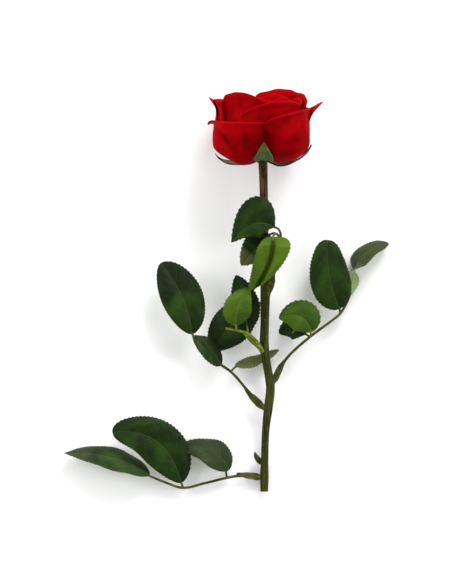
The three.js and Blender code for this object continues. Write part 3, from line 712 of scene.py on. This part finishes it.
# %% Leaf finish
def paint_leaf(dark, light, dull, vein, under):
    """The paint of a leaflet in five colours: two for its upper face, one for the painted grey sheen of a
    leaflet seen at a glancing angle, one for the veins and one for its lower face."""

    def paint(shape, place, spot):
        s, t, tone = (shape.part(k) for k in range(3))
        across = abs(place.part(1))
        top = place.part(2).step(*FACES)
        turns = vein_turns(s, t)
        fine = place.noise(0.9, 3.0)
        turns = turns + 0.06 * (fine - 0.5)
        off = abs(turns.math("FRACT", turns) - 0.5)
        side = off.step(0.44, 0.495) * abs(t).step(1.0, 0.55) * 0.3
        rib = (across + 0.35 * s).step(0.62, 0.28)
        cells = place.node(
            "ShaderNodeTexVoronoi",
            {"Vector": place, "Scale": 0.75, "Randomness": 1.0},
            feature="DISTANCE_TO_EDGE",
        )
        net = cells.step(0.09, 0.02)
        lines = side.math("MAXIMUM", rib, side)
        # Painted sheen: a tone above 1 turns the face pale grey, as a leaflet seen at a glancing angle would
        # look.
        painted_sheen = tone.step(0.9, 1.9)
        fresh = tone.math("MINIMUM", tone, 1 - tone)
        patch = (0.9 * place.noise(0.06, 3.0) + 0.4 * fresh).step(0.32, 0.82)
        face = painted_sheen.mix(patch.mix(dark, light), dull)
        face = (0.1 * net + (0.4 + 0.5 * painted_sheen) * lines).mix(face, vein)
        back = (0.2 * net + 0.5 * lines).mix(under, vein)
        roughness = 0.62 - 0.2 * top + 0.12 * (fine - 0.5)
        height = (0.5 - top) * (0.22 * lines + 0.05 * net) + 0.05 * fine
        return top.mix(back, face), roughness, height

    return paint


leaf_finish = finish(
    "leaf_green",
    paint_leaf(
        dark=colour(12, 31, 3),
        light=colour(42, 70, 15),
        # dull is the grey of the painted sheen on leaflets of high tone.
        dull=colour(92, 98, 60),
        vein=colour(76, 96, 36),
        under=colour(150, 168, 112),
    ),
    gloss=0.1,
    sheen_weight=0.05,
    sheen_roughness=0.35,
    sheen_tint=(0.8, 0.85, 0.7, 1),
)
young_finish = finish(
    "young_leaf_green",
    paint_leaf(
        dark=colour(48, 78, 14),
        light=colour(84, 114, 14),
        dull=colour(84, 114, 14),
        vein=colour(120, 142, 52),
        under=colour(118, 144, 74),
    ),
    gloss=0.12,
)


# %% Stalk finish
STREAK = (0.16, 1500)  # how fine streaks are to a millimetre along a stalk and a metre up it


def paint_stalk(low, high):
    """A stalk between two colours, streaked along its length: the streaks change fast with height,
    which is across a lying stalk, and slowly along it."""

    def paint(shape, place, spot):
        along, up = place.part(0) * STREAK[0], spot.part(2) * STREAK[1]
        long = spot.node("ShaderNodeCombineXYZ", {0: along, 1: up})
        streak = long.noise(0.6, 3.0).step(0.35, 0.7)
        return streak.mix(low, high), 0.45 + 0.15 * streak, 0.06 * streak

    return paint


olive = paint_stalk(colour(46, 52, 14), colour(98, 98, 40))
bright = paint_stalk(colour(84, 98, 22), colour(132, 144, 54))
stalk_finish = finish("stalk_olive", olive, gloss=0.15)
young_stalk_finish = finish("young_stalk_green", bright, gloss=0.15)

# %% Grow the leaves
STALK_STEPS = 14  # between two of its points
STALK_SIDES = 14
STIPULE_SEED = 50

for number, (name, leaf) in enumerate(LEAVES.items()):
    young = name.startswith("young")
    stalks = [tube(points, STALK_STEPS * (len(points) - 1), STALK_SIDES) for points in leaf["stalks"]]
    small = [form for form in leaf["blades"] if form["width"] < STIPULE_WIDTH]
    large = [form for form in leaf["blades"] if form["width"] >= STIPULE_WIDTH]
    wings = [blade(**form, seed=STIPULE_SEED + number) for form in small]
    leaflets = [blade(**form, seed=10 * number + k) for k, form in enumerate(large)]
    piece(f"{name}_blades", leaflets, young_finish if young else leaf_finish, name)
    stalk = young_stalk_finish if young or name == "leaf_mid_front" else stalk_finish
    piece(f"{name}_stalks", stalks + wings, stalk, name)

# %% [markdown]
# ## The bloom
#
# An open rose is a cup of petals in whorls. Each petal leaves the hip by a narrow claw, sags, swells
# to a belly, and rises to a rim that rolls outwards. Cloth tools could drape such a petal, but its
# form is settled by growth and not by weight, so it is worked out from the same few lengths for
# every petal: how far out its belly and rim are, how high it reaches and how wide it is.

# %% Petal shape
BLOOM_BASE = (23.0, 85.6, 26.2)
BLOOM_TILT = 12  # degrees that the bloom's axis rises from the floor
PETAL_CLAW = 3  # a petal's distance from the axis where it starts
PETAL_WAIST = 0.42  # where the underside ends, as a share of the petal's length
PETAL_RISE = 0.34  # height of the belly, as a share of the petal's height
ROLL_SINK = 0.3  # how far a rim sinks as it rolls out, as a share of the roll
CORNER_LIFT = 0.7  # how far a corner rises, as a share of how far it stands out
CORNER_HEIGHT = 4  # the larger these powers, the smaller the corner
CORNER_WIDTH = 5
CORNER_ROUND = 1.6  # how far a petal's rim falls at its very corners
CORNER_SQUARE = 16  # the larger, the squarer its outline
TUCK = 1.0  # how much further in a petal's right edge lies than its middle, so that they overlap
VALLEY_AT = 3  # bearing of the valley between the two front petals
VALLEY_WIDTH = 19  # degrees to each side
VALLEY_DEPTH = 2.2  # towards the axis
VALLEY_RISE = 3.4  # and up along it
PRESS = 1.2  # how gently a petal flattens where it meets the floor
PRESS_SINK = 0.1


def in_bloom(radius, bearing, height, least=0.3, shift=0):
    """Points from their distance out from the bloom's axis, bearing about it in degrees and height
    along it. The axis leans by the tilt. What would sink below the least height is pressed flat by
    half of the sum of its height and the root of that height's square and the press's square."""
    tilt = np.radians(BLOOM_TILT)
    forward = radius * np.cos(np.radians(bearing))
    x = BLOOM_BASE[0] + radius * np.sin(np.radians(bearing)) + shift
    y = BLOOM_BASE[1] + height * np.cos(tilt) - forward * np.sin(tilt)
    z = BLOOM_BASE[2] + height * np.sin(tilt) + forward * np.cos(tilt) - least
    z = least + (z + np.sqrt(z * z + PRESS * PRESS)) / 2 - PRESS_SINK
    return np.stack([x, y, z], -1)


def underside(share, claw, belly, rise, sag):
    """Distance out and height from the claw to the belly: sine and cosine of a quarter turn, less a
    sag that is the sine of a half turn."""
    turn = share * np.pi / 2
    return blend(claw, belly, np.sin(turn)), rise * (1 - np.cos(turn)) - sag * np.sin(2 * turn)


def valley(bearing):
    """How deep in the valley between the two front petals a bearing lies: a bell curve of it."""
    return np.exp(-(((bearing - VALLEY_AT) / VALLEY_WIDTH) ** 2))


def dented(u, v, dents):
    """How far a petal is pressed in: the sum of its dents. Each is a bell curve of the distance
    along the petal and across it from the dent's middle, in reaches, and leans by its slant."""
    depth = 0 * u
    for middle_u, middle_v, reach_u, reach_v, slant, deep in dents:
        along = (u - middle_u) / reach_u
        across = (v - middle_v - slant * (u - middle_u)) / reach_v
        depth = depth + deep * np.exp(-along * along - across * across)
    return depth


PETAL_GRID = (60, 56)
ROW_CROWD = 1.25  # above 1, the rows crowd towards the rim
PETAL_THICK = 0.5
CLAW_THICK = 1.1  # share of that thickness at the claw
THINNING = 0.4  # and how much less it is at the rim
RIM_START = 0.86  # where a rim starts to turn over
RIM_SINK = 0.5  # how far it sinks as it does, as a share of the turn
CURL_LENGTH = 3  # of the rim that a curled corner rolls up
LEAST_CURL = 0.001  # radians, so that nothing is divided by nought
RIPPLE = ((0, 1.1, 1), (0, 2.3, 0.6))  # waves of a rim
RIPPLE_RISE = 0.5  # how far they go up and down, as a share of in and out
SWELL = ((0.9, 0.7, 1), (1.2, -0.5, 1))  # waves of a petal's middle
SWELL_DEPTH = 0.35
PETAL_TONES = (0.45, 0.65)
# Painted shade: the tone falls in a petal's dents and in the valley. It rises on the petal's bulges, as a
# painted highlight.
DENT_SHADE = 0.2  # how much the tone falls for each millimetre that a petal is pressed in


def petal(
    bearing, span, height, belly, rim, lip=1.5, drop=0.1, skew=0, points=(0, 0), curls=(0, 0), sag=1.3,
    hang=0, shoulder=0.7, bulge=0, shift=0, dip=0, turn=1.3, frill=0.5, dents=(), least=0.3, seed=0,
):
    """A petal. It follows the underside to its belly, sagging most where v is hang, and then rises
    to its rim. There it rolls out by the lip, turns over by turn, and ripples by frill. Its corners
    stand out by points and roll up by curls, in degrees, its middle stands out by bulge, and its
    rim may lean to the right by shift. dip is its share of the valley. Its tone is darker where it
    is pressed in, in its dents and the valley, as painted shade. It is lighter where it bulges out,
    as a painted highlight."""
    rng = np.random.default_rng(seed)
    u, v = grid(*PETAL_GRID)
    u = 1 - (1 - u) ** ROW_CROWD
    top = height * (1 - drop * v * v + skew * v)
    wall = np.clip((u - PETAL_WAIST) / (1 - PETAL_WAIST), 0, 1)
    corner = wall**CORNER_HEIGHT * abs(v) ** CORNER_WIDTH * np.where(v < 0, points[0], points[1])
    roll = wall**3 * lip
    share = np.clip(u / PETAL_WAIST, 0, 1)
    arch = np.sin(np.pi * u)
    arc = span * v * blend(shoulder, 1, arch)
    hollow = dip * valley(bearing + arc)
    swag = sag * (np.clip(1 - (v - hang) ** 2, 0, 1) * (1 - hollow)) ** 2
    out, up = underside(share, PETAL_CLAW, belly, PETAL_RISE * height, swag)
    phase = rng.uniform(0, 1, 4)
    ripple = frill * waves(u, v, RIPPLE, phase[:2])
    swell = SWELL_DEPTH * waves(u, v, SWELL, phase[2:])
    over = step(u, RIM_START, 1)
    pressed = dented(u, v, dents) + VALLEY_DEPTH * hollow * arch
    radius = out + (rim - belly) * smooth(wall) + roll + corner - TUCK * v * u + turn * over
    radius = radius + bulge * arch * (0.5 - v * v) + ripple * wall**4 + swell * arch
    rise = up + (top - PETAL_RISE * height) * wall - ROLL_SINK * roll + CORNER_LIFT * corner
    rise = rise - RIM_SINK * turn * over**2 + RIPPLE_RISE * ripple * wall**6
    rise = rise - CORNER_ROUND * wall * v**CORNER_SQUARE + VALLEY_RISE * hollow * np.sin(np.pi * share)
    edge = np.clip((u - RIM_START) / (1 - RIM_START), 0, 1)
    curl = np.radians(np.where(v < 0, curls[0], curls[1])) * v**4 + LEAST_CURL
    radius = radius - pressed + CURL_LENGTH * (1 - np.cos(curl * edge)) / curl
    rise = rise + CURL_LENGTH * (np.sin(curl * edge) / curl - edge)
    grown = in_bloom(radius, bearing + arc, rise, least, shift * u)
    # Painted shade and highlight: the tone is darker where the petal is pressed in and lighter where it
    # bulges.
    tone = np.clip(rng.uniform(*PETAL_TONES) - DENT_SHADE * pressed, 0, 1)
    return sheet(grown, u, v, PETAL_THICK * (CLAW_THICK - THINNING * u), tone)


# %% [markdown]
# The outer petals are placed one by one, because each can be told apart. Towards the heart they are
# set in rings by a rule, a fixed share of a turn apart, and only their ripples are drawn by lot. A
# dent is its middle along and across the petal, its reach in both, its slant and its depth. Its depth
# also paints the petal darker, as painted shade, and a negative depth paints it lighter, as a
# painted highlight.

# %% Petals
OUTER_PETALS = [
    dict(bearing=-42, span=60, height=29.3, belly=31.2, rim=30.2, lip=0.7, drop=0.04, skew=0.07, turn=1,
         points=(1.8, 0), curls=(300, 0), sag=3.6, hang=0.4, shoulder=0.85, bulge=3, dip=1, frill=0.25,
         dents=[(0.58, -0.1, 0.22, 0.11, -1.1, 1.6), (0.58, 0.36, 0.24, 0.26, 0, 1.6),
                (0.5, -0.45, 0.2, 0.16, 0, -1.1), (0.9, -0.3, 0.08, 0.3, 0, -0.7),
                (0.8, 1, 0.5, 0.3, 0, 0.7)]),
    dict(bearing=50, span=53, height=36.8, belly=31.5, rim=30, drop=0.13, points=(0, 0.6),
         sag=2.4, shoulder=0.87, bulge=3, dip=0.8, frill=0.25,
         dents=[(0.82, -0.42, 0.1, 0.24, 0, 1), (0.6, -0.5, 0.12, 0.16, 0, -0.5),
                (0.45, -0.3, 0.1, 0.25, 0.6, 0.8), (0.62, 0.1, 0.3, 0.12, -0.3, 0.8),
                (0.25, 0, 0.12, 0.5, 0, -0.4), (0.6, -1, 0.5, 0.2, 0, 0.6)]),
    dict(bearing=120, span=48, height=31.5, belly=30.6, rim=29.6, drop=-0.04, skew=-0.1, points=(6, 2)),
    dict(bearing=-120, span=48, height=36.8, belly=30.8, rim=29.2, drop=-0.06, skew=0.04, points=(2, 3.6),
         frill=0.3),
    dict(bearing=180, span=50, height=35, belly=30.4, rim=30, lip=3),
]
SECOND_PETALS = [
    dict(bearing=28, span=61, height=43.2, belly=28.5, rim=24.4, lip=1, drop=0.21, skew=-0.02,
         shoulder=0.95, dip=1, frill=0.3, dents=[(0.9, -1, 0.3, 0.2, 0, 0.9)]),
    dict(bearing=-40, span=55, height=48.1, belly=28, rim=22.5, lip=1, drop=0.18, skew=0.04,
         shoulder=0.9, dip=1, frill=0.3,
         dents=[(0.8, 0.1, 0.07, 0.25, 0, 0.7), (0.74, -0.25, 0.14, 0.1, 0, 0.7)]),
    dict(bearing=-94, span=36, height=39, belly=30.2, rim=28.4, lip=1, drop=0.06, frill=0.5, shoulder=0.9),
    dict(bearing=98, span=48, height=39.5, belly=28, rim=25.5),
    dict(bearing=-146, span=44, height=38, belly=27.6, rim=24.5),
    dict(bearing=138, span=61, height=42.5, belly=27.6, rim=23.6, skew=0.02, shoulder=0.92, shift=2),
]
INNER_WHORLS = [
    dict(count=5, first=-42, span=50, height=40, belly=22, rim=17, lip=1, dip=0.8, frill=0.25),
    dict(count=4, first=48, span=60, height=39, belly=16, rim=12.5, lip=0.8, turn=0.9, frill=0.25),
    dict(count=3, first=80, span=78, height=37.8, belly=10.5, rim=7, lip=0.6, turn=0.6, frill=0.2),
    dict(count=2, first=20, span=100, height=36.8, belly=6, rim=3.4, lip=0.3, turn=0.5, frill=0.2),
    dict(count=2, first=110, span=120, height=36, belly=4, rim=1.9, lip=0.2, turn=0.3, frill=0.1),
]

HEART_SHIFT = 6  # how far the heart leans to the right
SECOND_LEAST = 1.1  # the lowest that each layer reaches, so that it clears the one below
INNER_LEAST = 2
SEEDS = (100, 200, 300)

outer = [petal(**form, seed=SEEDS[0] + k) for k, form in enumerate(OUTER_PETALS)]
second = [petal(**form, least=SECOND_LEAST, seed=SEEDS[1] + k) for k, form in enumerate(SECOND_PETALS)]
inner = []
for number, whorl in enumerate(INNER_WHORLS):
    form = dict(whorl, shift=HEART_SHIFT, least=INNER_LEAST)
    count, first = form.pop("count"), form.pop("first")
    for k in range(count):
        inner.append(petal(**form, bearing=first + 360 * k / count, seed=SEEDS[2] + 10 * number + k))
print(len(outer) + len(second) + len(inner), "petals")


# %% [markdown]
# Rose petals look like velvet because tiny cones on their skin trap the light that would glance off
# it. Principled sheen would add a bright edge, which washes the red out from above, so the specular
# level is turned nearly off instead. The red is deeper in the folds and dents, as painted shade.
# It is lighter towards the rim and pinker on it, as a painted highlight where the petal is thin.
# Fine veins fan out along it, and its claw is pale.

# %% Petal finish
def paint_petal(shape, place, spot):
    """Deep red with fine veins along the petal, brighter on the inner face. It is darker in dents and
    the valley, as painted shade. It is lighter on bulges and towards the rim and pinker on the rim,
    as painted highlight.
    """
    u, v, tone = (shape.part(k) for k in range(3))
    outward = place.part(2).step(*FACES)
    cloud = place.noise(0.11, 4.0)
    grain = place.noise(2.4, 3.0)
    lanes = v.node("ShaderNodeCombineXYZ", {0: v * 26, 1: u * 2.2})
    veins = lanes.noise(1.0, 3.0).step(0.56, 0.7) * u.step(1.0, 0.5)
    # Painted light: the tone brings the painted shade of dents and the painted highlight of bulges. The step
    # in u lightens the petal towards its rim as a painted highlight.
    light = 0.8 * cloud + tone + 0.18 * u.step(0.5, 0.9) - 0.28
    body = light.step(0.0, 1.2).mix(colour(84, 0, 0), colour(184, 2, 14))
    face = (veins * 0.3).mix(body, colour(112, 0, 3))
    inner = (veins * 0.25).mix(colour(170, 0, 6), colour(130, 0, 4))
    red = outward.mix(inner, face)
    # A painted highlight: the rim is turned pinker.
    red = (0.6 * u.step(0.92, 1.0)).mix(red, colour(205, 16, 26))
    red = u.step(0.12, 0.0).mix(red, colour(214, 176, 120))
    return red, 0.52 + 0.16 * grain, 0.05 * grain - 0.05 * veins


petal_finish = finish("petal_velvet", paint_petal, gloss=0.008)
for layer, petals in {"outer": outer, "second": second, "inner": inner}.items():
    piece(f"petals_{layer}", petals, petal_finish, "bloom")

# %% [markdown]
# ## The calyx
#
# Under the petals sits the hip, a small green cup, and five sepals spread from it. They are pointed,
# keeled along the middle, and cream on the inside, which shows as a pale line where one stands a
# little off the petals. The hip is a profile turned about the bloom's axis, and a sepal is a sheet
# like a petal, with a width that runs out to a point.

# %% Calyx shape
HIP = [[0, -2.8], [3.0, -2.8], [3.9, -1.8], [4.2, -0.6], [3.5, 0.6], [0, 0.8]]
HIP_GRID = (40, 48)
SEPAL_GRID = (60, 16)
SEPAL_THICK = 0.6
SEPAL_WIDTH = 13.4
SEPAL_BELLY = 32.2
SEPAL_SHELF = 0.8  # how far below the petals a sepal starts
SEPAL_KICK = 1.2  # how far a sepal's tip turns out
SEPAL_RISE = 11  # height of its belly
SEPAL_CLIMB = 11  # how far a sepal twice as long as the underside would climb past it
SEPAL_NECK = 0.5  # its width at the hip, as a share of its full width
SEPAL_FULLEST = 0.3
SEPAL_TIP = 0.4  # its width at the point
KEEL = 0.35
KEEL_WIDTH = 1.6
FLARE_REACH = (0.3, 0.7)  # where the first flare passes into the second
FLARE_LOW = 0.6  # the least share of the flare that is left across the sepal
FLARE_ROLL = 3  # the larger, the nearer to its upper edge a sepal rolls out
# A sepal's tone is how dark its green is painted. This is painted shade on the sepals that lie in the bloom's
# shadow.
SEPALS = [
    dict(bearing=2, length=1.5, belly=33.8, sag=0.3, tone=0.1),
    dict(bearing=72, length=1.02, sag=2, flare=(2.2, 0.4), fullness=2.4, tone=1),
    dict(bearing=146, length=0.75, flare=(1, 0.5)),
    dict(bearing=-146, length=0.75, flare=(1, 0.5)),
    dict(bearing=-74, length=0.76, sag=2, flare=(1.4, 4.4), fullness=2.4),
]


def turned(profile, rows, sides):
    """A closed solid of revolution about the bloom's axis through [distance out, height] points."""
    curve = through([[r, h, 0] for r, h in profile], rows)
    radius, height = curve[:, :1].clip(0), curve[:, 1:2]
    bearing = np.arange(sides)[None] / sides * 360
    rings = in_bloom(radius + 0 * bearing, bearing + 0 * radius, height + 0 * bearing)[1:-1]
    poles = in_bloom(np.zeros(2), np.zeros(2), np.array([profile[0][1], profile[-1][1]]))
    points = np.concatenate([rings.reshape(-1, 3), poles])
    return {
        "points": points,
        "faces": [np.roll(group[:, ::-1], 1, axis=1) for group in hoops(rows - 1, sides)],
        # The hip's tone of 1 paints it dark green, as painted shade.
        "shape": np.tile([0.5, 0.5, 1.0], (len(points), 1)),
        "place": np.tile([0.0, 0.0, 1.0], (len(points), 1)),
    }


def sepal(bearing, length, belly=SEPAL_BELLY, sag=1, flare=(0, 0), fullness=1.2, tone=0.6):
    """A sepal. It follows the underside below the petals and then climbs, as far as its length
    goes, and its width falls from its fullest place to a point by a power of the share of the way.
    Its upper edge stands off the petals by the first flare, and further out by the second."""
    u, v = grid(*SEPAL_GRID)
    share = np.clip(u * length, 0, 1)
    climb = SEPAL_CLIMB * np.clip(u * length - 1, 0, 1)
    out, up = underside(share, PETAL_CLAW, belly, SEPAL_RISE, sag)
    out = out + SEPAL_KICK * step(u, 0.8, 1)
    narrowing = np.clip((u - SEPAL_FULLEST) / (1 - SEPAL_FULLEST), 0, 1) ** fullness
    taper = np.minimum(1, SEPAL_NECK + 2 * share) * (1 - narrowing)
    edge = blend(FLARE_LOW, 1, ((1 - v * np.sign(bearing)) / 2) ** FLARE_ROLL)
    flared = edge * np.sqrt(taper) * blend(*flare, step(share, *FLARE_REACH))
    flared = flared * step(share, 0, FLARE_REACH[0])
    shelf = SEPAL_SHELF * np.sqrt(1 - share) + flared
    width = SEPAL_WIDTH * taper + SEPAL_TIP
    arc = np.degrees(v * width / 2 / np.maximum(out, 2 * PETAL_CLAW))
    keel = KEEL * np.exp(-((v * width / KEEL_WIDTH) ** 2)) * (1 - u)
    hollow = valley(bearing + arc)
    out = out + keel - VALLEY_DEPTH * hollow * np.sin(np.pi * share / 2)
    up = up - shelf + climb + VALLEY_RISE * hollow * np.sin(np.pi * share)
    return sheet(in_bloom(out, bearing + arc, up), u, v, SEPAL_THICK, tone)


# %% Calyx finish
def paint_calyx(shape, place, spot):
    """Green outside with paler edges and streaks, darker where the tone is high, as painted shade on
    the hip and on the sepals that lie in the bloom's shadow. Cream inside with a dark margin and, on a
    sepal of high tone, a dark tip of painted shade."""
    u, v, tone = (shape.part(k) for k in range(3))
    outward = place.part(2).step(*FACES)
    lanes = v.node("ShaderNodeCombineXYZ", {0: v * 9, 1: u * 3, 2: tone * 5})
    streak = lanes.noise(1.0, 3.0).step(0.4, 0.7)
    green = streak.mix(colour(60, 82, 28), colour(102, 116, 56))
    green = (0.5 * abs(v).step(0.85, 1.0)).mix(green, colour(128, 138, 88))
    # Painted shade: a high tone darkens the green of the hip and of the sepals in the bloom's shadow.
    green = tone.step(0.2, 0.5).mix(green, colour(34, 44, 18))
    cream = streak.mix(colour(226, 224, 186), colour(246, 242, 220))
    margin = abs(v).step(0.74, 0.84)
    # The margin is the sepal's own colour. The dark tip on a sepal of high tone is painted shade.
    dull = margin.math("MAXIMUM", margin, (u * tone).step(0.46, 0.54))
    cream = dull.mix(cream, colour(60, 66, 30))
    return outward.mix(cream, green), 0.55 + 0.15 * streak, 0.08 * streak


calyx_finish = finish("calyx_green", paint_calyx, gloss=0.12)
sepals = [sepal(**form) for form in SEPALS]
piece("calyx_green", [turned(HIP, *HIP_GRID), *sepals], calyx_finish, "calyx")
